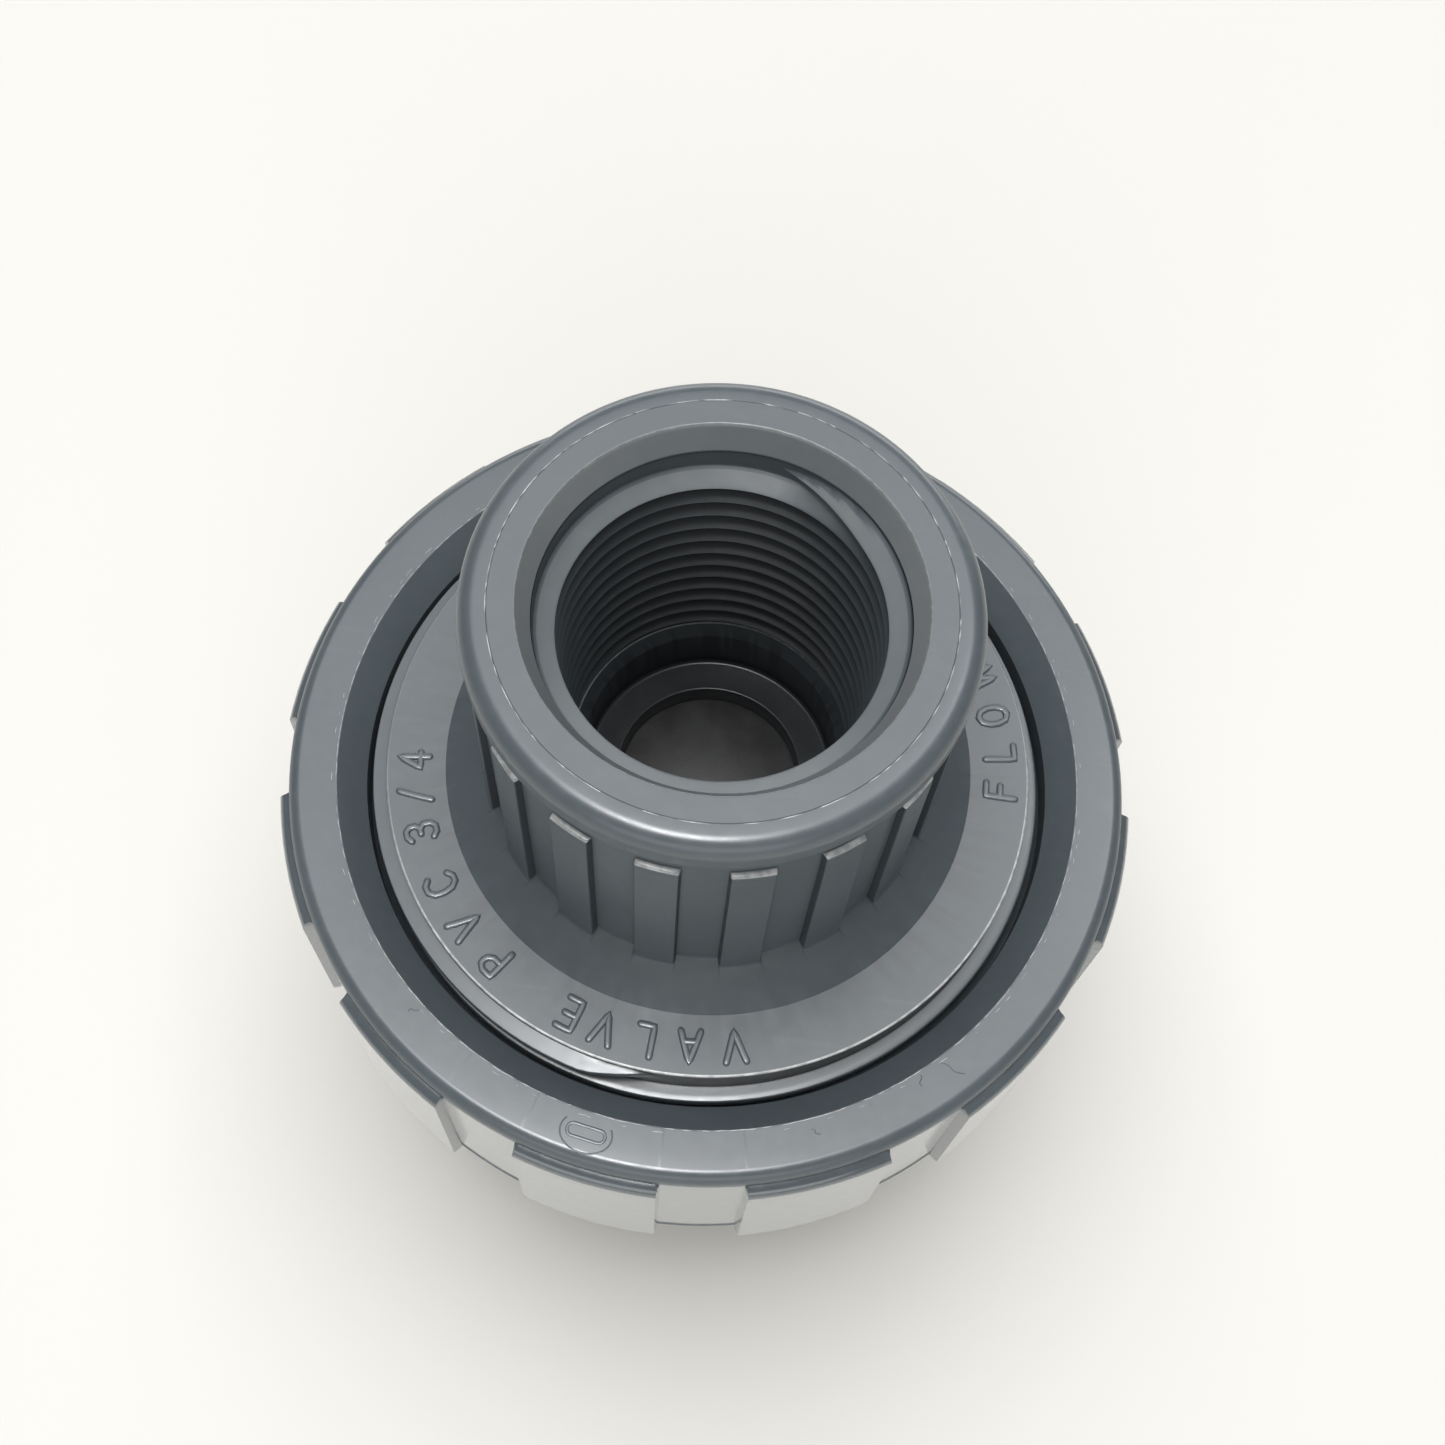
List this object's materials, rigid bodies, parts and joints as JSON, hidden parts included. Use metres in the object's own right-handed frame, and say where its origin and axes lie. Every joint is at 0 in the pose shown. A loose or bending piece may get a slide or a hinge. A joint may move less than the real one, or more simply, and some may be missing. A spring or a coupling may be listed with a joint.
{
  "type": "threaded diaphragm check valve",
  "caption": "In-line diaphragm check valve in a union body: ribbed end hubs with female pipe threads, drawn together by a ribbed union nut.",
  "frame": {"origin": "centre of the outlet end face, on which the fitting stands", "axes": "+Z along the flow axis, from the outlet end up to the inlet mouth; +X and +Y across it"},
  "size_m": [0.0706, 0.0706, 0.076],
  "materials": {
    "body_pvc": "satin moulded grey PVC",
    "nut_pvc": "satin moulded grey PVC, scuffed on the face",
    "rubber": "matt black moulded rubber",
    "support_pvc": "moulded grey PVC"
  },
  "bodies": {
    "outlet_end": {"outlet_body": "body_pvc", "body_o_ring": "rubber", "support_disc": "support_pvc"},
    "nut": {"union_nut": "nut_pvc"},
    "inlet_end": {"inlet_body": "body_pvc"},
    "valve": {"diaphragm": "rubber"}
  },
  "joints": [
    {"name": "nut_spin", "type": "hinge", "parent": "outlet_end", "child": "nut", "pos_m": [0, 0, 0.038], "axis": [0, 0, 1], "range_deg": [-1080, 0]},
    {"name": "inlet_lift", "type": "slide", "parent": "outlet_end", "child": "inlet_end", "axis": [0, 0, 1], "range_m": [0, 0.009]},
    {"name": "diaphragm_open", "type": "slide", "parent": "outlet_end", "child": "valve", "axis": [0, 0, -1], "range_m": [0, 0.0018], "stiffness_N_per_m": 400, "springref_m": -0.001}
  ],
  "couplings": [
    {"joint": "inlet_lift", "follows": "nut_spin", "m_per_rad": -0.00047746}
  ]
}
